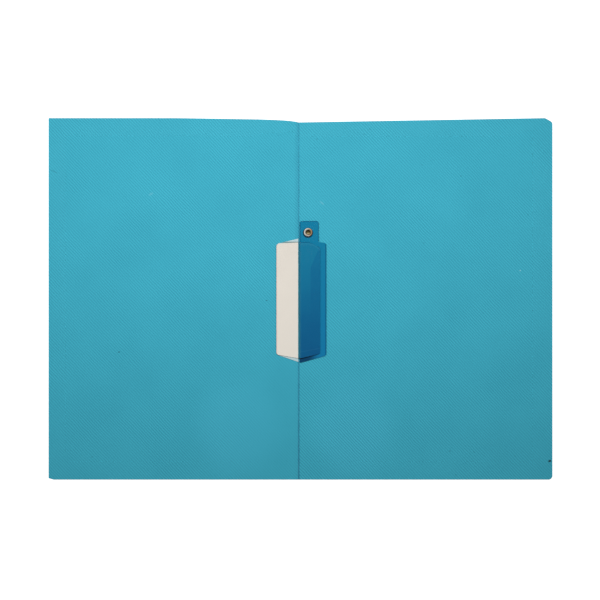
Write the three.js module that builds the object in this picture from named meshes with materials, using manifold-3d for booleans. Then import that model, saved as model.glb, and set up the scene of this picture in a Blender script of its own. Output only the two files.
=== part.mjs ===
// A clip folder for A4 paper, opened flat with its inside up.
// Millimetres, +Z up. X runs across the two covers, Y runs along the crease towards the top of a page.
// The origin is on the table under the middle of the open folder.
import * as THREE from "three";
import { mergeVertices } from "three/addons/utils/BufferGeometryUtils.js";
import Module from "manifold-3d";

// Driving dimensions of the covers
const sheet_height = 310;
const front_width = 214.5;
const back_width = 217.5;
const sheet_thickness = 0.7;
const crease_gap = 0.3; // the scored line between the covers
const crease_dip = 3.7; // how far the top edge falls where it meets the crease
const dip_reach = 105; // length of the curved fall on the front cover
const front_top_radius = 0.6;
const front_cut_width = 4.3; // the clipped lower corner of the front cover
const front_cut_height = 1.3;
const back_cut_width = 6.2; // the clipped upper corner of the back cover
const back_cut_height = 3.6;
const back_cut_radius = 3;
const back_bottom_radius = 3.4;

// Driving dimensions of the clip, one folded strip of blue plastic with a tab
const slip = 0.3; // running clearance between layers that slide or fold on each other
const strip_thickness = 0.6;
const mouth_height = 2; // clear height inside the fold of the clip
const fold_offset = 0.3; // from the crease to the outside of the clip's fold
const clip_top = 48.7; // upper end of the clip's fold
const base_length = 103.3;
const base_width = 23.3;
const base_top_taper = 0.9;
const base_bottom_taper = 6;
const base_corner = 2.5;
const jaw_length = 99.4;
const jaw_width = 17.9;
const jaw_shoulder = 9.2; // from the fold to where the jaw's upper edge bends down
const jaw_shoulder_radius = 14;
const jaw_top_taper = 5;
const jaw_bottom_taper = 3.7;
const jaw_corner = 1.5;
const tab_width = 16.3;
const tab_height = 18;
const tab_inset = 0.5; // from the outside of the fold to the tab's near edge
const tab_corner = 2.2;

// Driving dimensions of the eyelet, a tube rolled over at both ends
const eyelet_from_tab_edge = 7.2;
const eyelet_below_tab_top = 9.6;
const eyelet_play = 0.1; // radial and axial play of the clip on the eyelet
const barrel_radius = 2.2;
const barrel_wall = 0.45;
const rim_radius = 3.7;
const rim_height = 0.9;
const crimp_radius = 3.2;
const crimp_depth = 0.35; // how deep the rolled end sits in the back of the cover

// Driving dimensions of the clip's flap, an ivory plate on a thin frosted film
const flap_gap = 0.4; // from the crease to the near edge of the flap
const film_thickness = 0.3;
const film_rise = 2.9; // how far the film stands out past the clip's upper end
const film_length = 105.6;
const film_width = 17.9;
const film_top_taper = 4.2;
const film_bottom_taper = 6;
const film_corner = 1.5;
const plate_thickness = 0.6;
const plate_drop = 0.4; // how far the plate stays under the clip's upper end
const plate_length = 99.2;
const plate_width = 18.7;
const plate_top_taper = 1.1;
const plate_bottom_taper = 3.2;
const plate_corner = 2.5;

// Smoothness of the round stretches
const arc_steps = 8;
const hole_steps = 16;

// Places worked out from the driving dimensions
const half_width = (front_width + back_width) / 2;
const half_height = sheet_height / 2;
const crease_x = front_width - half_width;
const layer_z = sheet_thickness + slip; // underside of whatever lies on the covers
const base_top_z = layer_z + strip_thickness;
const fold_radius = strip_thickness + mouth_height / 2;
const fold_x = crease_x + fold_offset; // outside of the clip's fold
const fold_centre_x = fold_x + fold_radius;
const fold_centre_z = layer_z + fold_radius;
const tab_x = fold_x + tab_inset;
const tab_top = clip_top + tab_height;
const eyelet_x = tab_x + eyelet_from_tab_edge;
const eyelet_y = tab_top - eyelet_below_tab_top;
const hole_radius = barrel_radius + eyelet_play;
const flap_x = crease_x - flap_gap;
const plate_z = layer_z + film_thickness + slip;

const wasm = await Module();
wasm.setup();

function solidOf(geometry) {
  const bare = geometry.clone();
  bare.deleteAttribute("normal");
  bare.deleteAttribute("uv");
  const merged = mergeVertices(bare);
  return new wasm.Manifold(
    new wasm.Mesh({
      numProp: 3,
      vertProperties: merged.attributes.position.array,
      triVerts: new Uint32Array(merged.index.array),
    }),
  );
}

function geometryOf(solid) {
  const mesh = solid.getMesh();
  const geometry = new THREE.BufferGeometry();
  geometry.setAttribute("position", new THREE.BufferAttribute(mesh.vertProperties, 3));
  geometry.setIndex(new THREE.BufferAttribute(mesh.triVerts, 1));
  const flat = geometry.toNonIndexed();
  flat.computeVertexNormals();
  return flat;
}

// A closed outline through corners given as [x, y, radius]. A radius gives way where its edges are short.
function roundedOutline(corners) {
  const shape = new THREE.Shape();
  corners.forEach(([x, y, radius = 0], i) => {
    const corner = new THREE.Vector2(x, y);
    const before = new THREE.Vector2(...corners.at(i - 1)).sub(corner);
    const after = new THREE.Vector2(...corners[(i + 1) % corners.length]).sub(corner);
    const room = Math.min(before.length(), after.length()) / 2;
    before.normalize();
    after.normalize();
    const half_angle = Math.acos(THREE.MathUtils.clamp(before.dot(after), -1, 1)) / 2;
    const tangent = Math.min(radius / Math.tan(half_angle), room);
    if (tangent < 1e-3) {
      if (i === 0) shape.moveTo(x, y);
      else shape.lineTo(x, y);
      return;
    }
    const true_radius = tangent * Math.tan(half_angle);
    const start = corner.clone().addScaledVector(before, tangent);
    const end = corner.clone().addScaledVector(after, tangent);
    const middle = before.clone().add(after).normalize();
    const centre = corner.clone().addScaledVector(middle, true_radius / Math.sin(half_angle));
    if (i === 0) shape.moveTo(start.x, start.y);
    else shape.lineTo(start.x, start.y);
    shape.absarc(
      centre.x,
      centre.y,
      true_radius,
      start.clone().sub(centre).angle(),
      end.clone().sub(centre).angle(),
      before.cross(after) > 0,
    );
  });
  return shape;
}

function roundHole(x, y, radius) {
  return new THREE.Path().absarc(x, y, radius, 0, 2 * Math.PI, true);
}

// A flat piece of the outline, standing from one height to another
function plate(shape, low, high, steps = arc_steps) {
  const settings = { depth: high - low, bevelEnabled: false, curveSegments: steps };
  return new THREE.ExtrudeGeometry(shape, settings).translate(0, 0, low);
}

// A profile drawn in X and Z, run along Y from one end to the other
function run(profile, near, far) {
  const settings = { depth: far - near, bevelEnabled: false, curveSegments: hole_steps };
  return new THREE.ExtrudeGeometry(profile, settings).rotateX(Math.PI / 2).translate(0, far, 0);
}

// The covers: one sheet of embossed plastic, scored at the crease

function frontCover() {
  const edge = crease_x - crease_gap / 2;
  const left = -half_width;
  const dip_start = edge - Math.min(dip_reach, front_width / 2);
  const corner = Math.min(front_top_radius, front_width / 2);
  const shape = new THREE.Shape();
  shape.moveTo(left + front_cut_width, -half_height);
  shape.lineTo(edge, -half_height);
  shape.lineTo(edge, half_height - crease_dip);
  shape.bezierCurveTo(
    edge - dip_reach / 16,
    half_height - crease_dip / 2,
    edge - dip_reach / 6,
    half_height - crease_dip / 4,
    dip_start,
    half_height,
  );
  shape.lineTo(left + corner, half_height);
  shape.absarc(left + corner, half_height - corner, corner, Math.PI / 2, Math.PI, false);
  shape.lineTo(left, front_cut_height - half_height);
  return plate(shape, 0, sheet_thickness);
}

function backCover() {
  const edge = crease_x + crease_gap / 2;
  const right = half_width;
  const shape = roundedOutline([
    [edge, -half_height],
    [right, -half_height, back_bottom_radius],
    [right, half_height - back_cut_height, back_cut_radius],
    [right - back_cut_width, half_height, back_cut_radius],
    [edge, half_height - crease_dip],
  ]);
  shape.holes.push(roundHole(eyelet_x, eyelet_y, hole_radius));
  const sheet = solidOf(plate(shape, 0, sheet_thickness, hole_steps));
  const recess = new THREE.Shape().absarc(
    eyelet_x,
    eyelet_y,
    crimp_radius + eyelet_play,
    0,
    2 * Math.PI,
    false,
  );
  const cutter = solidOf(plate(recess, -crimp_depth, crimp_depth, hole_steps));
  return geometryOf(sheet.subtract(cutter));
}

// The clip: base leaf with its tab, a round fold and a jaw that leans down to the base

function clipBase() {
  const right = fold_x + base_width;
  const left = fold_x + tab_inset;
  const bottom = clip_top - base_length;
  const shape = roundedOutline([
    [left, bottom],
    [fold_centre_x, bottom],
    [right, bottom + base_bottom_taper, base_corner],
    [right, clip_top - base_top_taper, base_corner],
    [tab_x + tab_width, clip_top],
    [tab_x + tab_width, tab_top, tab_corner],
    [tab_x, tab_top, tab_corner],
    [tab_x, clip_top],
    [left, clip_top - strip_thickness],
  ]);
  shape.holes.push(roundHole(eyelet_x, eyelet_y, hole_radius));
  return plate(shape, layer_z, base_top_z, hole_steps);
}

function clipFoldAndJaw() {
  const inner = mouth_height / 2;
  const free_x = fold_x + jaw_width;
  const free_z = base_top_z + slip;
  const lap = strip_thickness; // how far the fold runs on over the base leaf
  const profile = new THREE.Shape();
  profile.moveTo(fold_centre_x + lap, layer_z);
  profile.lineTo(fold_centre_x + lap, base_top_z);
  profile.lineTo(fold_centre_x, base_top_z);
  profile.absarc(fold_centre_x, fold_centre_z, inner, -Math.PI / 2, Math.PI / 2, true);
  profile.lineTo(free_x, free_z);
  profile.lineTo(free_x, free_z + strip_thickness);
  profile.lineTo(fold_centre_x, fold_centre_z + fold_radius);
  profile.absarc(fold_centre_x, fold_centre_z, fold_radius, Math.PI / 2, -Math.PI / 2, false);
  const low = clip_top - jaw_length;
  const bent = solidOf(run(profile, low, clip_top));
  const shape = roundedOutline([
    [fold_x - slip, low],
    [fold_centre_x, low],
    [free_x, low + jaw_bottom_taper, jaw_corner],
    [free_x, clip_top - jaw_top_taper, jaw_corner],
    [fold_x + jaw_shoulder, clip_top, jaw_shoulder_radius],
    [fold_x - slip, clip_top],
  ]);
  const cutter = solidOf(plate(shape, 0, fold_centre_z + 2 * fold_radius));
  return bent.intersect(cutter);
}

function clipBody() {
  return geometryOf(solidOf(clipBase()).add(clipFoldAndJaw()));
}

// The flap: it folds over with the front cover and lies on the jaw when the folder is closed

function flapPlate() {
  const top = clip_top - plate_drop;
  const low = top - plate_length;
  const left = flap_x - plate_width;
  const shape = roundedOutline([
    [left, low + plate_bottom_taper, plate_corner],
    [flap_x, low],
    [flap_x, top],
    [left, top - plate_top_taper, plate_corner],
  ]);
  return plate(shape, plate_z, plate_z + plate_thickness);
}

function flapFilm() {
  const top = clip_top + film_rise;
  const low = top - film_length;
  const left = flap_x - film_width;
  const shape = roundedOutline([
    [left, low + film_bottom_taper, film_corner],
    [flap_x, low],
    [flap_x, top],
    [left, top - film_top_taper, film_corner],
  ]);
  return plate(shape, layer_z, layer_z + film_thickness);
}

// The eyelet: its domed rim holds the tab, its rolled end sits in the back of the cover

function eyelet() {
  const bore = barrel_radius - barrel_wall;
  const rim_low = base_top_z + eyelet_play;
  const rim_top = rim_low + rim_height;
  const crimp_top = crimp_depth - eyelet_play;
  const section = new THREE.Shape();
  section.moveTo(bore, crimp_top / 2);
  section.quadraticCurveTo(bore, 0, bore + crimp_top, 0);
  section.lineTo(crimp_radius - crimp_top / 2, 0);
  section.quadraticCurveTo(crimp_radius, 0, crimp_radius, crimp_top);
  section.lineTo(barrel_radius, crimp_top);
  section.lineTo(barrel_radius, rim_low);
  section.lineTo(rim_radius, rim_low);
  section.bezierCurveTo(
    rim_radius,
    rim_low + rim_height * 0.75,
    rim_radius - rim_height,
    rim_top,
    (bore + rim_radius) / 2,
    rim_top,
  );
  section.quadraticCurveTo(bore + barrel_wall / 2, rim_top, bore, rim_low);
  section.lineTo(bore, crimp_top / 2);
  const ring = new THREE.LatheGeometry(section.getPoints(arc_steps), 2 * hole_steps);
  return ring.rotateX(Math.PI / 2).translate(eyelet_x, eyelet_y, 0);
}

const cover_plastic = new THREE.MeshStandardMaterial({
  color: 0x3fa9bd,
  roughness: 0.55,
  metalness: 0,
});
const clip_plastic = new THREE.MeshStandardMaterial({
  color: 0x196f9b,
  roughness: 0.25,
  metalness: 0,
  transparent: true,
  opacity: 0.9,
});
const ivory_plastic = new THREE.MeshStandardMaterial({
  color: 0xdcd6c8,
  roughness: 0.45,
  metalness: 0,
});
const frosted_film = new THREE.MeshStandardMaterial({
  color: 0xbcd8dc,
  roughness: 0.4,
  metalness: 0,
  transparent: true,
  opacity: 0.8,
});
const plated_brass = new THREE.MeshStandardMaterial({
  color: 0xccb894,
  roughness: 0.25,
  metalness: 1,
});

const folder = new THREE.Group();

function addPiece(name, geometry, material) {
  const mesh = new THREE.Mesh(geometry, material);
  mesh.name = name;
  folder.add(mesh);
}

addPiece("front_cover", frontCover(), cover_plastic);
addPiece("back_cover", backCover(), cover_plastic);
addPiece("clip_body", clipBody(), clip_plastic);
addPiece("flap_plate", flapPlate(), ivory_plastic);
addPiece("flap_film", flapFilm(), frosted_film);
addPiece("eyelet", eyelet(), plated_brass);

export default folder;
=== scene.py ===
"""The looks of an open clip folder for A4 paper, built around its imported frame.

All lengths are in metres, in the frame's own axes: X across the covers, Y up the page, Z up off the table.
"""

import math

import bmesh
import bpy
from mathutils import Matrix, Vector


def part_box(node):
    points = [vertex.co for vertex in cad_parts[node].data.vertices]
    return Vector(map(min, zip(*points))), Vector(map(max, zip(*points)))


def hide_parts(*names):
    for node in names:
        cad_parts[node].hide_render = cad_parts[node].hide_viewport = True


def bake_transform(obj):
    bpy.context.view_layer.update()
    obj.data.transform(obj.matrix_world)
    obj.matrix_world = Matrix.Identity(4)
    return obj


MM = 0.001

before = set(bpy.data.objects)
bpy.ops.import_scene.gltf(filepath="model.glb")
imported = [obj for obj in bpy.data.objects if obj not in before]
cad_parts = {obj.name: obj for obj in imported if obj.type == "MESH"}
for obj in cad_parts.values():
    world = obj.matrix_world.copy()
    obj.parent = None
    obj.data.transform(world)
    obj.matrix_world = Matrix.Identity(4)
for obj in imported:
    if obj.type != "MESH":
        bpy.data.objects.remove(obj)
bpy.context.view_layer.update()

# Places taken from the frame
front_low, front_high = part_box("front_cover")
back_low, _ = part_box("back_cover")
clip_low, clip_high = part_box("clip_body")
plate_low, plate_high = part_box("flap_plate")
_, film_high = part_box("flap_film")
eyelet_low, eyelet_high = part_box("eyelet")
SHEET_TOP = front_high.z
CREASE_X = (front_high.x + back_low.x) / 2
EYELET = (eyelet_low + eyelet_high) / 2

# The photograph: 600 pixels across, seen from straight above
IMAGE_SIDE = 600
PIXEL = 0.8573 * MM
MIDDLE_PIXEL = (300.5, 298.85)  # where the folder's middle lies in the picture
CAMERA_HEIGHT = 1.6
CAMERA_REACH = 20
SENSOR = 36.0

# The studio
LAMP = Vector((-0.05, 0.16, 0.53))
LAMP_LENGTH = 0.8
LAMP_WIDTH = 0.12
LAMP_WATTS = 3.6
FILL = 0.2  # how brightly the room itself lights the folder
CEILING = 0.12  # how bright the ceiling is in a reflection, where the walls are 1
WALL_TOP, CEILING_START = 0.35, 0.9  # how steeply up a reflection looks there
TABLE_SIDE = 8.0
TABLE_DROP = 0.05 * MM
TABLE_GREY = (0.4, 0.4, 0.4, 1)
TABLE_GLOW = 0.93
WHITE = (1, 1, 1, 1)

# The sheet of the covers
BEND_HALF = 4.7 * MM  # half of the strip that rounds into a spine
BEND_STEPS = 12
SCORE_HALF = 0.55 * MM
SCORE_DEPTH = 0.32 * MM
GRID = 18 * MM  # from one column of points to the next, away from the bend
GRID_COLUMNS = 11
GRID_ROWS = 18
SHEET_EDGE = 0.1 * MM
WELD = 0.001 * MM
NEAR = 0.01 * MM

# Cut edges of the smaller pieces
CUT_EDGE = 0.12 * MM
FILM_EDGE = 0.05 * MM


def place(pixel_x, pixel_y, z=SHEET_TOP):
    """The point of the folder that a pixel of the photograph shows."""
    return Vector(((pixel_x - MIDDLE_PIXEL[0]) * PIXEL, (MIDDLE_PIXEL[1] - pixel_y) * PIXEL, z))


def column(pixel_x):
    return place(pixel_x, 0).x


def row(pixel_y):
    return place(0, pixel_y).y


# What the photograph shows on the covers
CRUSH_START, CRUSH_END = row(330), row(400)  # the ribs beside the crease grow uneven down to here
CREASE_SHADE_START, CREASE_SHADE_END = row(380), row(260)  # the painted shade beside the crease grows darker up to here

# What the photograph shows on the clip
LEAF_TOP = row(241)
FOLD_END = column(300.2)
CREST_START, CREST_END = column(300.5), column(300.9)
PATCH_EDGE_FOOT = place(310.5, 268)
PATCH_EDGE_TIP = place(319, 248)
PATCH_FADE_START, PATCH_FADE_FULL = row(318), row(262)
JAW_FOOT_LEFT = place(300, 357.0)
JAW_FOOT_RIGHT = place(319, 353.6)
SHADE_START, SHADE_END = column(308), column(321)
JAW_TOP = row(242.1)
TAB_LEFT, TAB_RIGHT = column(299.7), column(318.8)
TAB_START, TAB_FULL = row(241.6), row(240.8)


# Camera and light


def overhead_camera():
    data = bpy.data.cameras.new("overhead")
    data.sensor_width = SENSOR
    data.lens = SENSOR * (CAMERA_HEIGHT - SHEET_TOP) / (IMAGE_SIDE * PIXEL)
    data.clip_end = CAMERA_REACH
    camera = bpy.data.objects.new("overhead", data)
    bpy.context.scene.collection.objects.link(camera)
    camera.location = place(IMAGE_SIDE / 2, IMAGE_SIDE / 2, CAMERA_HEIGHT)
    bpy.context.scene.camera = camera


def hanging_softbox():
    """One soft lamp over the top of the page, which faces straight down."""
    data = bpy.data.lights.new("softbox", "AREA")
    data.shape = "RECTANGLE"
    data.size = LAMP_LENGTH
    data.size_y = LAMP_WIDTH
    data.energy = LAMP_WATTS
    lamp = bpy.data.objects.new("softbox", data)
    bpy.context.scene.collection.objects.link(lamp)
    lamp.location = LAMP
    lamp.visible_glossy = False  # the sheet shows no glare of the lamp, only the walls and the ceiling


# Materials

SMOOTH = {"interpolation_type": "SMOOTHSTEP"}
PLUS = {"operation": "ADD"}
MINUS = {"operation": "SUBTRACT"}
TIMES = {"operation": "MULTIPLY"}
LARGER = {"operation": "MAXIMUM"}
WITHOUT_SIGN = {"operation": "ABSOLUTE"}
DISTANCE = {"operation": "DISTANCE"}
COLOURS = {"data_type": "RGBA"}
NOISE_ROUGHNESS = 0.55


def linear(code):
    """A hex colour as the eye sees it, turned to the linear values that shaders use."""
    channels = [int(code[i : i + 2], 16) / 255 for i in (1, 3, 5)]
    return [c / 12.92 if c <= 0.04045 else ((c + 0.055) / 1.055) ** 2.4 for c in channels] + [1.0]


def add(tree, kind, settings, inputs):
    """Adds a node with its settings, gives each input a value or a link, and returns the node's outputs.

    A Map Range takes its value as input 0, the range that it reads as 1 and 2, and the range that it gives
    as 3 and 4. A Mix of colours takes its share as input 0 and its colours as 6 and 7, and gives output 2.
    """
    node = tree.nodes.new("ShaderNode" + kind)
    for name, value in settings.items():
        setattr(node, name, value)
    for socket, value in inputs.items():
        if isinstance(value, bpy.types.NodeSocket):
            tree.links.new(value, node.inputs[socket])
        else:
            node.inputs[socket].default_value = value
    return node.outputs


def new_material(name):
    material = bpy.data.materials.new(name)
    material.use_nodes = True
    material.node_tree.nodes.clear()
    return material, material.node_tree


def band(tree, value, low, high, soft=0.2 * MM):
    """1 where a value lies between low and high, falling to 0 over a soft edge."""
    rise = add(tree, "MapRange", SMOOTH, {0: value, 1: low - soft, 2: low, 3: 0, 4: 1})[0]
    fall = add(tree, "MapRange", SMOOTH, {0: value, 1: high, 2: high + soft, 3: 1, 4: 0})[0]
    return add(tree, "Math", TIMES, {0: rise, 1: fall})[0]


def cloudiness(tree, where, size, detail, reach, low, high):
    """A value that wanders from low to high over patches of about that size.

    The pattern keeps close to its middle of a half, and a smaller reach round it gives a stronger contrast.
    """
    pattern = add(
        tree,
        "TexNoise",
        {},
        {"Vector": where, "Scale": 1 / size, "Detail": detail, "Roughness": NOISE_ROUGHNESS},
    )[0]
    return add(tree, "MapRange", {}, {0: pattern, 1: 0.5 - reach, 2: 0.5 + reach, 3: low, 4: high})[0]


def fine_texture(tree, where, grain, strength):
    """The slight unevenness of rolled or moulded plastic, drawn coarser than the real one so as to show."""
    depth = 0.01 * MM
    pattern = add(
        tree,
        "TexNoise",
        {},
        {"Vector": where, "Scale": 1 / grain, "Detail": 2.0, "Roughness": NOISE_ROUGHNESS},
    )[0]
    return add(tree, "Bump", {}, {"Height": pattern, "Distance": depth, "Strength": strength})[0]


# Marks that the sheet has picked up: column and row of the photograph, half length and half width in
# millimetres, turn in degrees, depth of colour
DARK_MARKS = [
    (549.8, 461.0, 1.5, 1.0, 20, 0.95),
    (119.0, 352.0, 1.1, 0.5, 10, 0.55),
    (266.7, 300.5, 1.0, 0.35, 0, 0.6),
    (330.0, 243.0, 0.9, 0.35, 25, 0.35),
    (369.5, 129.0, 0.7, 0.5, 0, 0.35),
    (364.0, 134.0, 0.7, 0.4, 40, 0.3),
    (317.0, 139.0, 0.8, 0.4, 30, 0.35),
    (461.0, 176.0, 0.7, 0.5, 0, 0.3),
    (422.0, 165.0, 0.6, 0.5, 0, 0.3),
    (424.0, 243.0, 0.6, 0.4, 0, 0.3),
    (528.0, 215.0, 0.6, 0.4, 0, 0.35),
    (450.0, 451.0, 0.7, 0.5, 0, 0.4),
    (474.0, 452.0, 0.6, 0.4, 0, 0.35),
    (515.0, 456.0, 0.6, 0.4, 0, 0.35),
    (456.0, 475.0, 0.7, 0.4, 0, 0.35),
    (92.0, 457.0, 0.6, 0.5, 0, 0.35),
    (54.0, 171.5, 4.0, 0.45, -25, 0.25),
]
# Painted sheen: broad patches that are painted a little paler
PAINTED_SHEEN = [
    (238.0, 428.0, 38.0, 42.0, 0, 0.5),
    (352.0, 428.0, 36.0, 42.0, 0, 0.5),
]
# Small pale scuffs
PALE_MARKS = [
    (151.0, 194.0, 2.2, 1.0, 30, 0.12),
    (322.0, 203.0, 2.4, 0.8, -40, 0.16),
    (520.3, 270.5, 0.7, 0.6, 0, 0.5),
]
MARK_CORE, MARK_RIM = 0.5, 1.3  # a mark fades out between these shares of its size


def marks(tree, where, listed):
    """How strongly a place on the sheet is marked, from 0 to 1."""
    total = 0.0
    for pixel_x, pixel_y, length, width, turn, depth in listed:
        local = add(
            tree,
            "Mapping",
            {"vector_type": "TEXTURE"},
            {
                "Vector": where,
                "Location": place(pixel_x, pixel_y, 0),
                "Rotation": (0, 0, math.radians(turn)),
                "Scale": (length * MM, width * MM, 1),
            },
        )[0]
        away = add(tree, "VectorMath", {"operation": "LENGTH"}, {0: local})["Value"]
        here = add(tree, "MapRange", SMOOTH, {0: away, 1: MARK_CORE, 2: MARK_RIM, 3: depth, 4: 0})[0]
        total = add(tree, "Math", LARGER, {0: total, 1: here})[0]
    return total


RIB_PITCH = 1.906 * MM
RIB_TURN = math.radians(43.5)  # the ribs run square to this direction
RIB_HEIGHT = 0.05 * MM
RIB_PAINTED_SHADE = 0.46  # painted shade on the ribs, stronger than the real shade, because the ribs are hardly wider than a pixel
RIB_WANDER = 0.16  # how far a rib strays, as a share of the pitch
CRUSHED, RAISED = -0.4, 0.35  # how much weaker or stronger the ribs are beside the crease, left and right
CRUSH_NEAR, CRUSH_FAR = 25 * MM, 90 * MM


def slanting_ribs(tree, where, across, along, from_crease):
    """How high the embossing stands, from 0 between the ribs to 1 on a rib."""
    over_ribs = (math.cos(RIB_TURN), math.sin(RIB_TURN), 0)
    way = add(tree, "VectorMath", {"operation": "DOT_PRODUCT"}, {0: where, 1: over_ribs})["Value"]
    pitches = add(tree, "Math", TIMES, {0: way, 1: 1 / RIB_PITCH})[0]
    wander = cloudiness(tree, where, 9 * MM, 3.0, 0.2, -RIB_WANDER, RIB_WANDER)
    turns = add(tree, "Math", PLUS, {0: pitches, 1: wander})[0]
    angle = add(tree, "Math", TIMES, {0: turns, 1: 2 * math.pi})[0]
    wave = add(tree, "Math", {"operation": "SINE"}, {0: angle})[0]
    rib = add(tree, "MapRange", {}, {0: wave, 1: -1, 2: 1, 3: 0, 4: 1})[0]
    wear = cloudiness(tree, where, 45 * MM, 3.0, 0.15, 0.5, 1.0)

    # Beside the crease, low on the page, the ribs are crushed on the left and stand out on the right
    side_start, side_end = CREASE_X - MM, CREASE_X + MM
    side = add(tree, "MapRange", {}, {0: across, 1: side_start, 2: side_end, 3: CRUSHED, 4: RAISED})[0]
    beside = add(tree, "MapRange", SMOOTH, {0: from_crease, 1: CRUSH_NEAR, 2: CRUSH_FAR, 3: 1, 4: 0})[0]
    low_down = add(tree, "MapRange", SMOOTH, {0: along, 1: CRUSH_START, 2: CRUSH_END, 3: 0, 4: 1})[0]
    reached = add(tree, "Math", TIMES, {0: beside, 1: low_down})[0]
    uneven = add(tree, "Math", TIMES, {0: side, 1: reached})[0]
    strength = add(tree, "Math", PLUS, {0: wear, 1: uneven})[0]
    centred = add(tree, "Math", PLUS, {0: rib, 1: -0.5})[0]
    weakened = add(tree, "Math", TIMES, {0: centred, 1: strength})[0]
    return add(tree, "Math", PLUS, {0: weakened, 1: 0.5})[0]


def crease_painted_shade(tree, where, across, along, from_crease):
    """The painted shade on the sheet left of the crease, and the painted shade in the scored line itself."""
    width = cloudiness(tree, where, 7 * MM, 2.0, 0.2, 0.35 * MM, 0.7 * MM)
    outside = add(tree, "Math", MINUS, {0: from_crease, 1: width})[0]
    line = add(tree, "MapRange", SMOOTH, {0: outside, 1: 0, 2: 0.35 * MM, 3: 1, 4: 0})[0]
    depth = add(tree, "MapRange", {}, {0: along, 1: front_low.y, 2: front_high.y, 3: 0.56, 4: 0.1})[0]
    crease_line_shade = add(tree, "Math", TIMES, {0: line, 1: depth})[0]

    crease_side_band = band(tree, across, CREASE_X - 1.2 * MM, CREASE_X, 3.2 * MM)
    left_end = CREASE_X + 1.6 * MM
    left_only = add(tree, "MapRange", {}, {0: across, 1: CREASE_X, 2: left_end, 3: 1, 4: 0})[0]
    high_up = add(tree, "MapRange", SMOOTH, {0: along, 1: CREASE_SHADE_START, 2: CREASE_SHADE_END, 3: 0.03, 4: 0.16})[0]
    crease_side_band_left = add(tree, "Math", TIMES, {0: crease_side_band, 1: left_only})[0]
    crease_side_shade = add(tree, "Math", TIMES, {0: crease_side_band_left, 1: high_up})[0]
    return crease_side_shade, crease_line_shade


def embossed_polypropylene():
    """Polypropylene sheet, embossed by a roller with fine slanting ribs. It gives a satin sheet with thin
    slanting lines, darker on the ribs by painted shade, broad paler patches of painted sheen, and painted
    shade along the scored crease and left of it."""
    material, tree = new_material("embossed_polypropylene")
    where = add(tree, "Attribute", {"attribute_name": "rest_place"}, {})["Vector"]
    across, along, _ = add(tree, "SeparateXYZ", {}, {0: where})
    offset = add(tree, "Math", MINUS, {0: across, 1: CREASE_X})[0]
    from_crease = add(tree, "Math", WITHOUT_SIGN, {0: offset})[0]

    rib = slanting_ribs(tree, where, across, along, from_crease)
    relief = add(tree, "Math", TIMES, {0: rib, 1: RIB_HEIGHT})[0]
    valley = add(tree, "MapRange", SMOOTH, {0: from_crease, 1: 0, 2: 26 * MM, 3: 0, 4: 0.32 * MM})[0]
    height = add(tree, "Math", PLUS, {0: relief, 1: valley})[0]
    normal = add(tree, "Bump", {}, {"Height": height, "Distance": 1.0, "Strength": 1.0})[0]

    patches = cloudiness(tree, where, 55 * MM, 4.0, 0.15, 0, 1)
    colour = add(tree, "Mix", COLOURS, {0: patches, 6: linear("#3fb0c6"), 7: linear("#42b5cb")})[2]
    # painted shade on the ribs
    rib_painted_shade = add(tree, "MapRange", {}, {0: rib, 1: 0, 2: 1, 3: 0, 4: RIB_PAINTED_SHADE})[0]
    crease_side_shade, crease_line_shade = crease_painted_shade(tree, where, across, along, from_crease)
    # painted sheen, painted shade on the ribs and at the crease, then real dark marks and pale scuffs
    tints = [
        (marks(tree, where, PAINTED_SHEEN), "#4abcd5"),
        (rib_painted_shade, "#1d6f8c"),
        (crease_side_shade, "#1b6485"),
        (crease_line_shade, "#1b6485"),
        (marks(tree, where, DARK_MARKS), "#12303a"),
        (marks(tree, where, PALE_MARKS), "#9fd6e2"),
    ]
    for share, code in tints:
        colour = add(tree, "Mix", COLOURS, {0: share, 6: colour, 7: linear(code)})[2]
    finish = {"Base Color": colour, "Roughness": 0.45, "IOR": 1.49, "Normal": normal}
    add(tree, "OutputMaterial", {}, {"Surface": add(tree, "BsdfPrincipled", {}, finish)[0]})
    return material


def blue_layers(tree, where, along, on_jaw):
    """The blue of the leaf and of the jaw over it, each changing up the clip. The jaw is darker than the
    leaf, partly for its double layer and partly as painted shade, and is painted lighter towards its upper
    end.
    """
    cloud = cloudiness(tree, where, 14 * MM, 2.0, 0.15, -0.06, 0.06)
    # painted light: the blues grow lighter towards the clip's upper end
    climbed = add(tree, "MapRange", {}, {0: along, 1: clip_low.y, 2: LEAF_TOP, 3: 0, 4: 1})[0]
    share = add(tree, "Math", PLUS, {0: climbed, 1: cloud})[0]
    jaw = add(tree, "Mix", COLOURS, {0: share, 6: linear("#065a8d"), 7: linear("#0e749d")})[2]
    leaf = add(tree, "Mix", COLOURS, {0: share, 6: linear("#0c7db0"), 7: linear("#0c7fa6")})[2]
    return add(tree, "Mix", COLOURS, {0: on_jaw, 6: leaf, 7: jaw})[2]


# The next functions list the clip's tints: share, the only place where it counts, depth, hex colour


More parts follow.
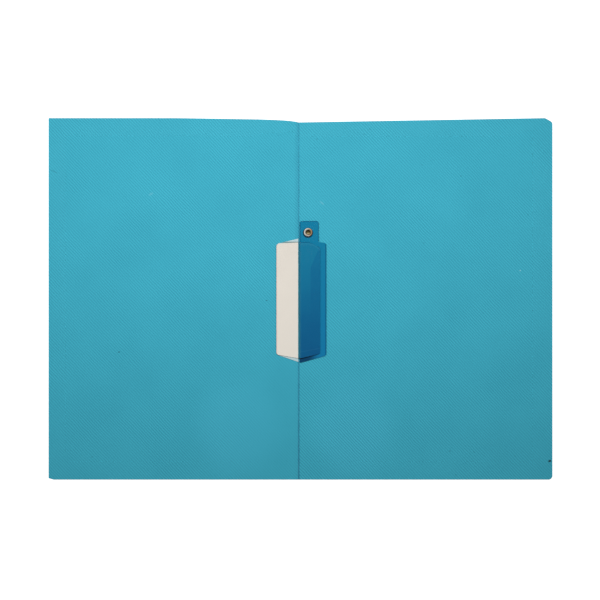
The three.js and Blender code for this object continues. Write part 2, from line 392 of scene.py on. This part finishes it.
def pale_slanted_patch(tree, across, along, on_jaw):
    """A paler patch on the jaw, left of an edge that slants from its foot to its tip, fading out downwards.
    """
    soft = 0.4 * MM
    slope = (PATCH_EDGE_TIP.x - PATCH_EDGE_FOOT.x) / (PATCH_EDGE_TIP.y - PATCH_EDGE_FOOT.y)
    climbed = add(tree, "Math", PLUS, {0: along, 1: -PATCH_EDGE_FOOT.y})[0]
    above = add(tree, "Math", LARGER, {0: climbed, 1: 0.0})[0]
    slanted = add(tree, "Math", TIMES, {0: above, 1: slope})[0]
    edge = add(tree, "Math", PLUS, {0: slanted, 1: PATCH_EDGE_FOOT.x})[0]
    beyond = add(tree, "Math", MINUS, {0: across, 1: edge})[0]
    inside = add(tree, "MapRange", SMOOTH, {0: beyond, 1: -soft, 2: soft, 3: 1, 4: 0})[0]
    fading = add(tree, "MapRange", {}, {0: along, 1: PATCH_FADE_START, 2: PATCH_FADE_FULL, 3: 0, 4: 1})[0]
    shown = add(tree, "Math", TIMES, {0: inside, 1: fading})[0]
    return [(shown, on_jaw, 0.45, "#1684a4")]


def fold_shade_and_crest_highlight(tree, across, up, on_jaw):
    """Painted shade in dark teal along the fold's rounded side, then a painted highlight line where the jaw
    starts to lie flat.
    """
    low, high = clip_low.z + 0.2 * MM, clip_low.z + 0.5 * MM
    raised = add(tree, "MapRange", {}, {0: up, 1: low, 2: high, 3: 0, 4: 1})[0]
    fold_shade = band(tree, across, clip_low.x - MM, FOLD_END)
    crest_highlight = band(tree, across, CREST_START, CREST_END)
    return [(fold_shade, raised, 0.85, "#06597a"), (crest_highlight, on_jaw, 0.3, "#2b93ad")]


def jaw_foot(tree, across, along, on_jaw):
    """The shade under the jaw's slanting lower edge, and a pale line on the jaw above it."""
    lean = (JAW_FOOT_RIGHT.y - JAW_FOOT_LEFT.y) / (JAW_FOOT_RIGHT.x - JAW_FOOT_LEFT.x)
    slanted = add(tree, "Math", TIMES, {0: across, 1: lean})[0]
    edge = add(tree, "Math", PLUS, {0: slanted, 1: JAW_FOOT_LEFT.y - lean * JAW_FOOT_LEFT.x})[0]
    below = add(tree, "Math", MINUS, {0: edge, 1: along})[0]
    off_jaw = add(tree, "MapRange", {}, {0: on_jaw, 1: 0, 2: 1, 3: 1, 4: 0})[0]
    to_left = add(tree, "MapRange", SMOOTH, {0: across, 1: SHADE_START, 2: SHADE_END, 3: 1, 4: 0})[0]
    leaf_left = add(tree, "Math", TIMES, {0: off_jaw, 1: to_left})[0]
    shade = band(tree, below, -3 * MM, 4.2 * MM, 1.8 * MM)
    lip = band(tree, below, -4.6 * MM, -4.2 * MM, 0.4 * MM)
    return [(shade, leaf_left, 0.85, "#04335a"), (lip, on_jaw, 0.1, "#3f8fb4")]


def jaw_top_shade_and_highlight(tree, across, along, on_jaw):
    """The jaw's upper edge, level beside the fold, then bending down: painted shade along it and a painted
    highlight line inside.
    """
    bend_start, bend_end = clip_low.x + 7 * MM, clip_low.x + 18 * MM
    past_bend = add(tree, "MapRange", {}, {0: across, 1: bend_start, 2: bend_end, 3: 0, 4: 1})[0]
    squared = add(tree, "Math", TIMES, {0: past_bend, 1: past_bend})[0]
    drop = add(tree, "Math", TIMES, {0: squared, 1: -5 * MM})[0]
    edge = add(tree, "Math", PLUS, {0: drop, 1: JAW_TOP})[0]
    under = add(tree, "Math", MINUS, {0: edge, 1: along})[0]
    top_edge_shade = band(tree, under, -1 * MM, 0.5 * MM, 0.5 * MM)
    pale = band(tree, under, 1.5 * MM, 1.8 * MM, 0.5 * MM)
    return [(top_edge_shade, on_jaw, 0.5, "#07486e"), (pale, on_jaw, 0.16, "#4fa3bb")]


def painted_edge_shade(tree, across, along):
    """The cut rims of the leaf and its tab, darkened with painted shade."""
    tab_half = (TAB_RIGHT - TAB_LEFT) / 2
    offset = add(tree, "Math", MINUS, {0: across, 1: (TAB_LEFT + TAB_RIGHT) / 2})[0]
    from_middle = add(tree, "Math", WITHOUT_SIGN, {0: offset})[0]
    rims = []
    for value, start, end in (
        (from_middle, tab_half - 0.9 * MM, tab_half - 0.3 * MM),
        (along, clip_high.y - 1.1 * MM, clip_high.y - 0.4 * MM),
        (across, clip_high.x - 1.3 * MM, clip_high.x - 0.5 * MM),
    ):
        rims.append(add(tree, "MapRange", SMOOTH, {0: value, 1: start, 2: end, 3: 0, 4: 1})[0])
    sides, end_rim, leaf_rim = rims
    on_tab = add(tree, "MapRange", {}, {0: along, 1: TAB_START, 2: TAB_FULL, 3: 0, 4: 1})[0]
    round_tab = add(tree, "Math", LARGER, {0: sides, 1: end_rim})[0]
    tab_rim = add(tree, "Math", TIMES, {0: round_tab, 1: on_tab})[0]
    rim = add(tree, "Math", LARGER, {0: tab_rim, 1: leaf_rim})[0]
    return [(rim, 1.0, 0.55, "#06456c")]


def eyelet_foot_shadow(tree, where):
    """Painted shadow round the foot of the eyelet."""
    foot = (EYELET.x - 0.1 * MM, EYELET.y - 0.6 * MM, clip_low.z + 0.6 * MM)
    away = add(tree, "VectorMath", DISTANCE, {0: where, 1: foot})["Value"]
    near = add(tree, "MapRange", SMOOTH, {0: away, 1: 3.9 * MM, 2: 4.8 * MM, 3: 1, 4: 0})[0]
    return [(near, 1.0, 0.92, "#05283a")]


def calendered_pvc():
    """Blue soft PVC sheet, calendered smooth, cut and folded hot. It is glossy and slightly see-through, so
    it is darker where two layers lie over each other, partly by painted shade. It carries painted light and
    shade: lighter towards the jaw's upper end, shade along the fold, edges, jaw foot and eyelet foot,
    highlights by the fold and jaw top, and a paler patch left of a slanting edge."""
    material, tree = new_material("calendered_pvc")
    where = add(tree, "TexCoord", {}, {})["Object"]
    across, along, up = add(tree, "SeparateXYZ", {}, {0: where})
    jaw_low, jaw_high = clip_low.z + 0.65 * MM, clip_low.z + 0.8 * MM
    on_jaw = add(tree, "MapRange", {}, {0: up, 1: jaw_low, 2: jaw_high, 3: 0, 4: 1})[0]
    blue = blue_layers(tree, where, along, on_jaw)
    tints = pale_slanted_patch(tree, across, along, on_jaw)
    tints += fold_shade_and_crest_highlight(tree, across, up, on_jaw)
    tints += jaw_foot(tree, across, along, on_jaw)
    tints += jaw_top_shade_and_highlight(tree, across, along, on_jaw)
    tints += painted_edge_shade(tree, across, along)
    tints += eyelet_foot_shadow(tree, where)
    for share, only_where, depth, code in tints:
        kept = add(tree, "Math", TIMES, {0: share, 1: only_where})[0]
        strength = add(tree, "Math", TIMES, {0: kept, 1: depth})[0]
        blue = add(tree, "Mix", COLOURS, {0: strength, 6: blue, 7: linear(code)})[2]
    normal = fine_texture(tree, where, 0.6 * MM, 0.6)
    finish = {"Base Color": blue, "Roughness": 0.25, "IOR": 1.5, "Alpha": 0.86, "Normal": normal}
    add(tree, "OutputMaterial", {}, {"Surface": add(tree, "BsdfPrincipled", {}, finish)[0]})
    return material


def bent_pvc():
    """The same blue PVC, stretched thin where it was folded hot. It gives a dark teal line by the jaw."""
    material, tree = new_material("bent_pvc")
    where = add(tree, "TexCoord", {}, {})["Object"]
    cloud = cloudiness(tree, where, 9 * MM, 2.0, 0.15, 0, 1)
    teal = add(tree, "Mix", COLOURS, {0: cloud, 6: linear("#0b7387"), 7: linear("#0e8094")})[2]
    finish = {"Base Color": teal, "Roughness": 0.6, "IOR": 1.53, "Specular IOR Level": 0.2}
    add(tree, "OutputMaterial", {}, {"Surface": add(tree, "BsdfPrincipled", {}, finish)[0]})
    return material


def ivory_polystyrene():
    """Ivory polystyrene plate, moulded smooth. It gives a warm white with a faint cloudiness, a little paler
    towards its lower end and warmer along its left edge."""
    material, tree = new_material("ivory_polystyrene")
    where = add(tree, "TexCoord", {}, {})["Object"]
    across, along, _ = add(tree, "SeparateXYZ", {}, {0: where})
    cloud = cloudiness(tree, where, 18 * MM, 3.0, 0.15, 0, 1)
    paler = add(tree, "MapRange", {}, {0: along, 1: plate_low.y, 2: plate_high.y, 3: 0.75, 4: 0.1})[0]
    warm_start, warm_end = plate_low.x + 0.4 * MM, plate_low.x + 1.2 * MM
    warm = add(tree, "MapRange", SMOOTH, {0: across, 1: warm_start, 2: warm_end, 3: 0.5, 4: 0})[0]
    ivory = add(tree, "Mix", COLOURS, {0: cloud, 6: linear("#d9d2c8"), 7: linear("#dcd5cb")})[2]
    for share, code in ((paler, "#eae3d8"), (warm, "#e2c4b4")):
        ivory = add(tree, "Mix", COLOURS, {0: share, 6: ivory, 7: linear(code)})[2]
    normal = fine_texture(tree, where, 0.8 * MM, 0.5)
    finish = {"Base Color": ivory, "Roughness": 0.42, "IOR": 1.59, "Normal": normal}
    add(tree, "OutputMaterial", {}, {"Surface": add(tree, "BsdfPrincipled", {}, finish)[0]})
    return material


def frosted_film():
    """Thin polypropylene film, frosted by its casting roller. It gives a pale veil over what lies under it,
    and a line of painted grey shade along the upper end of the plate."""
    material, tree = new_material("frosted_film")
    where = add(tree, "TexCoord", {}, {})["Object"]
    along = add(tree, "SeparateXYZ", {}, {0: where})[1]
    cloud = cloudiness(tree, where, 10 * MM, 3.0, 0.15, 0, 1)
    pale = add(tree, "Mix", COLOURS, {0: cloud, 6: linear("#bdd8de"), 7: linear("#cde2e4")})[2]
    gap_painted_shade = band(tree, along, plate_high.y - 0.2 * MM, plate_high.y + 0.5 * MM, 0.4 * MM)
    share = add(tree, "Math", TIMES, {0: gap_painted_shade, 1: 0.8})[0]
    colour = add(tree, "Mix", COLOURS, {0: share, 6: pale, 7: linear("#6f8683")})[2]
    normal = fine_texture(tree, where, 0.5 * MM, 0.6)
    finish = {"Base Color": colour, "Roughness": 0.3, "IOR": 1.49, "Alpha": 0.8, "Normal": normal}
    add(tree, "OutputMaterial", {}, {"Surface": add(tree, "BsdfPrincipled", {}, finish)[0]})
    return material


def plated_brass():
    """Brass strip, drawn and rolled into an eyelet, with a pale plating, blotchy with wear. Its colour is
    painted light: pale on the left turning to a painted tan reflection on the right, with a bright rim
    between bends painted dark as shade."""
    material, tree = new_material("plated_brass")
    where = add(tree, "TexCoord", {}, {})["Object"]
    across, _, height = add(tree, "SeparateXYZ", {}, {0: where})
    worn = cloudiness(tree, where, 1.6 * MM, 3.0, 0.15, 0, 1)
    pale = add(tree, "Mix", COLOURS, {0: worn, 6: linear("#ebdfc9"), 7: linear("#fbf7f0")})[2]
    # painted reflection: the ring turns from pale on the left to tan on the right
    tan_side_start, tan_side_end = EYELET.x - 1.0 * MM, EYELET.x + 2.8 * MM
    tan_side_reflection = add(tree, "MapRange", SMOOTH, {0: across, 1: tan_side_start, 2: tan_side_end, 3: 0.0, 4: 0.9})[0]
    side_lit_colour = add(tree, "Mix", COLOURS, {0: tan_side_reflection, 6: pale, 7: linear("#bd905c")})[2]
    axle = add(tree, "CombineXYZ", {}, {0: EYELET.x, 1: EYELET.y, 2: height})[0]
    away = add(tree, "VectorMath", DISTANCE, {0: where, 1: axle})["Value"]
    # painted light: a bright band on the ring, with painted shade at its outer and inner bends
    lit_rim_band = band(tree, away, 2.5 * MM, 3.25 * MM, 0.45 * MM)
    colour = add(tree, "Mix", COLOURS, {0: lit_rim_band, 6: linear("#4a3620"), 7: side_lit_colour})[2]
    rough = cloudiness(tree, where, 0.9 * MM, 2.0, 0.2, 0.14, 0.3)
    finish = {"Base Color": colour, "Metallic": 0.7, "Roughness": rough}
    add(tree, "OutputMaterial", {}, {"Surface": add(tree, "BsdfPrincipled", {}, finish)[0]})
    return material


def studio_world():
    """White wherever the camera looks past the folder. Reflections see white walls and a dark ceiling."""
    world = bpy.data.worlds.new("studio")
    world.use_nodes = True
    tree = world.node_tree
    tree.nodes.clear()
    path = add(tree, "LightPath", {}, {})
    towards = add(tree, "TexCoord", {}, {})["Generated"]
    up = add(tree, "SeparateXYZ", {}, {0: towards})[2]
    walls = add(tree, "MapRange", SMOOTH, {0: up, 1: WALL_TOP, 2: CEILING_START, 3: 1.0, 4: CEILING})[0]
    lit = add(tree, "MapRange", {}, {0: path["Is Glossy Ray"], 1: 0, 2: 1, 3: FILL, 4: walls})[0]
    seen = add(tree, "Math", PLUS, {0: path["Is Camera Ray"], 1: path["Is Transmission Ray"]})[0]
    strength = add(tree, "MapRange", {}, {0: seen, 1: 0, 2: 1, 3: lit, 4: 1.0})[0]
    background = add(tree, "Background", {}, {"Color": WHITE, "Strength": strength})[0]
    add(tree, "OutputWorld", {}, {"Surface": background})
    bpy.context.scene.world = world


def pale_laminate():
    """Pale laminated table. It shows white with a soft shadow; inside the eyelet's hole it shows painted
    shade, dark at the top with a painted lit tan patch below.
    """
    material, tree = new_material("pale_laminate")
    path = add(tree, "LightPath", {}, {})
    direct = add(tree, "Math", PLUS, {0: path["Is Camera Ray"], 1: path["Is Glossy Ray"]})[0]
    seen = add(tree, "Math", PLUS, {0: direct, 1: path["Is Transmission Ray"]})[0]
    where = add(tree, "TexCoord", {}, {})["Object"]
    away = add(tree, "VectorMath", DISTANCE, {0: where, 1: (EYELET.x, EYELET.y, 0)})["Value"]
    outside = add(tree, "MapRange", {}, {0: away, 1: 3.0 * MM, 2: 3.4 * MM, 3: 0, 4: 1})[0]

    # painted shade and light inside the eyelet's hole: dark at the top, a lit tan patch below
    along = add(tree, "SeparateXYZ", {}, {0: where})[1]
    dark_start, dark_end = EYELET.y - 1.5 * MM, EYELET.y + 0.4 * MM
    shaded = add(tree, "MapRange", SMOOTH, {0: along, 1: dark_start, 2: dark_end, 3: 0, 4: 1})[0]
    hole_shade_and_light = add(tree, "Mix", COLOURS, {0: shaded, 6: linear("#b8a476"), 7: linear("#4a4026")})[2]
    colour = add(tree, "Mix", COLOURS, {0: outside, 6: hole_shade_and_light, 7: TABLE_GREY})[2]
    matt = add(tree, "BsdfDiffuse", {}, {"Color": colour})[0]

    seen_outside = add(tree, "Math", TIMES, {0: seen, 1: outside})[0]
    strength = add(tree, "Math", TIMES, {0: seen_outside, 1: TABLE_GLOW})[0]
    glow = add(tree, "Emission", {}, {"Color": WHITE, "Strength": strength})[0]
    both = add(tree, "AddShader", {}, {0: matt, 1: glow})[0]
    add(tree, "OutputMaterial", {}, {"Surface": both})
    return material


def table_top(material):
    bpy.ops.mesh.primitive_plane_add(size=TABLE_SIDE, location=(0, 0, -TABLE_DROP))
    table = bpy.context.object
    table.name = "table_top"
    table.data.materials.append(material)


# Pieces


def new_piece(name, mesh, material):
    piece = bpy.data.objects.new(name, mesh)
    bpy.context.scene.collection.objects.link(piece)
    mesh.materials.clear()
    mesh.materials.append(material)
    return piece


def smooth_by_angle(mesh, degrees):
    mesh.shade_smooth()
    mesh.set_sharp_from_angle(angle=math.radians(degrees))


def keep_rest_place(mesh):
    """Each point remembers where it lies at rest, so that the ribs would stay on the sheet if it were bent.
    """
    places = mesh.attributes.new("rest_place", "FLOAT_VECTOR", "POINT")
    for point, value in zip(mesh.vertices, places.data):
        value.vector = point.co


def joined_covers():
    """Both covers as the one sheet that they are, without the walls where they meet."""
    whole = bmesh.new()
    for node in ("front_cover", "back_cover"):
        whole.from_mesh(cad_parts[node].data)
    bmesh.ops.remove_doubles(whole, verts=whole.verts, dist=WELD)
    for vert in whole.verts:
        if front_high.x - NEAR < vert.co.x < back_low.x + NEAR:
            vert.co.x = CREASE_X
    walls = [f for f in whole.faces if all(abs(v.co.x - CREASE_X) < WELD for v in f.verts)]
    bmesh.ops.delete(whole, geom=walls, context="FACES_ONLY")
    bmesh.ops.remove_doubles(whole, verts=whole.verts, dist=NEAR)
    bmesh.ops.dissolve_limit(
        whole,
        angle_limit=math.radians(0.5),
        verts=whole.verts,
        edges=whole.edges,
        delimit={"NORMAL"},
    )
    return whole


def cut_grid(whole):
    """Columns and rows of points over the sheet, with close columns where it bends round the spine."""
    columns = [CREASE_X + BEND_HALF * i / BEND_STEPS for i in range(-BEND_STEPS, BEND_STEPS + 1)]
    columns += [CREASE_X - SCORE_HALF, CREASE_X + SCORE_HALF]
    columns += [CREASE_X + side * GRID * i for side in (-1, 1) for i in range(1, GRID_COLUMNS + 1)]
    height = front_high.y - front_low.y
    rows = [front_low.y + height * i / GRID_ROWS for i in range(1, GRID_ROWS)]
    cuts = [((x, 0, 0), (1, 0, 0)) for x in sorted(columns)]
    cuts += [((0, y, 0), (0, 1, 0)) for y in rows]
    for point, direction in cuts:
        geometry = whole.verts[:] + whole.edges[:] + whole.faces[:]
        bmesh.ops.bisect_plane(whole, geom=geometry, plane_co=point, plane_no=direction)


def cover_sheet(material):
    """The sheet of both covers, scored at the crease, with its cut edges slightly rounded."""
    whole = joined_covers()
    cut_grid(whole)
    for vert in whole.verts:
        if abs(vert.co.x - CREASE_X) < NEAR and vert.co.z > SHEET_TOP / 2:
            vert.co.z -= SCORE_DEPTH
    bmesh.ops.recalc_face_normals(whole, faces=whole.faces)
    rim = [e for e in whole.edges if len(e.link_faces) == 2 and e.calc_face_angle() > math.radians(60)]
    bmesh.ops.bevel(whole, geom=rim, offset=SHEET_EDGE, segments=2, profile=0.5, affect="EDGES")
    mesh = bpy.data.meshes.new("cover_sheet")
    whole.to_mesh(mesh)
    whole.free()
    keep_rest_place(mesh)
    smooth_by_angle(mesh, degrees=40)
    sheet = new_piece("cover_sheet", mesh, material)
    even = sheet.modifiers.new("even_shading", "WEIGHTED_NORMAL")
    even.keep_sharp = True
    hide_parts("front_cover", "back_cover")
    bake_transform(sheet)


def fold_strip(material):
    """The thin bent plastic that joins the flap to the clip along the crease."""
    thickness = 0.15 * MM
    tuck = 1.4 * MM  # how far it reaches in under the plate
    above_film = 0.07 * MM
    below_top = 0.5 * MM
    middle = (clip_low.z + clip_high.z) / 2
    start = Vector((plate_high.x - tuck, 0, film_high.z + above_film))
    lift = Vector((clip_low.x - 0.25 * MM, 0, middle - 0.5 * MM))  # the curve bends towards this point
    crest = Vector((clip_low.x + 0.3 * MM, 0, clip_high.z - below_top))
    low, high = plate_low.y + 0.4 * MM, plate_high.y - 0.2 * MM
    steps = 14
    strip = bmesh.new()
    rings = []
    for i in range(steps + 1):
        t = i / steps
        spot = start * (1 - t) ** 2 + lift * 2 * t * (1 - t) + crest * t**2
        heading = ((lift - start) * (1 - t) + (crest - lift) * t).normalized()
        out = Vector((-heading.z, 0, heading.x)) * thickness / 2
        corners = [(spot + out, high), (spot + out, low), (spot - out, low), (spot - out, high)]
        rings.append([strip.verts.new((c.x, y, c.z)) for c, y in corners])
    for one, two in zip(rings, rings[1:]):
        for i in range(4):
            j = (i + 1) % 4
            strip.faces.new((one[i], one[j], two[j], two[i]))
    strip.faces.new(rings[0][::-1])
    strip.faces.new(rings[-1])
    bmesh.ops.recalc_face_normals(strip, faces=strip.faces)
    mesh = bpy.data.meshes.new("fold_strip")
    strip.to_mesh(mesh)
    strip.free()
    smooth_by_angle(mesh, degrees=50)
    piece = new_piece("fold_strip", mesh, material)
    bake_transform(piece)


def dress(node, material, edge_radius):
    """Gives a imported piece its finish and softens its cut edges."""
    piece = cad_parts[node]
    piece.data.materials.clear()
    piece.data.materials.append(material)
    smooth_by_angle(piece.data, degrees=35)
    if edge_radius:
        softened = piece.modifiers.new("cut_edges", "BEVEL")
        softened.width = edge_radius
        softened.segments = 2
        softened.limit_method = "ANGLE"
        softened.angle_limit = math.radians(45)
        softened.harden_normals = True


overhead_camera()
studio_world()
table_top(pale_laminate())
hanging_softbox()
bpy.context.scene.view_settings.view_transform = "Standard"

cover_sheet(embossed_polypropylene())
dress("clip_body", calendered_pvc(), CUT_EDGE)
dress("flap_plate", ivory_polystyrene(), CUT_EDGE)
dress("flap_film", frosted_film(), FILM_EDGE)
dress("eyelet", plated_brass(), 0)
fold_strip(bent_pvc())
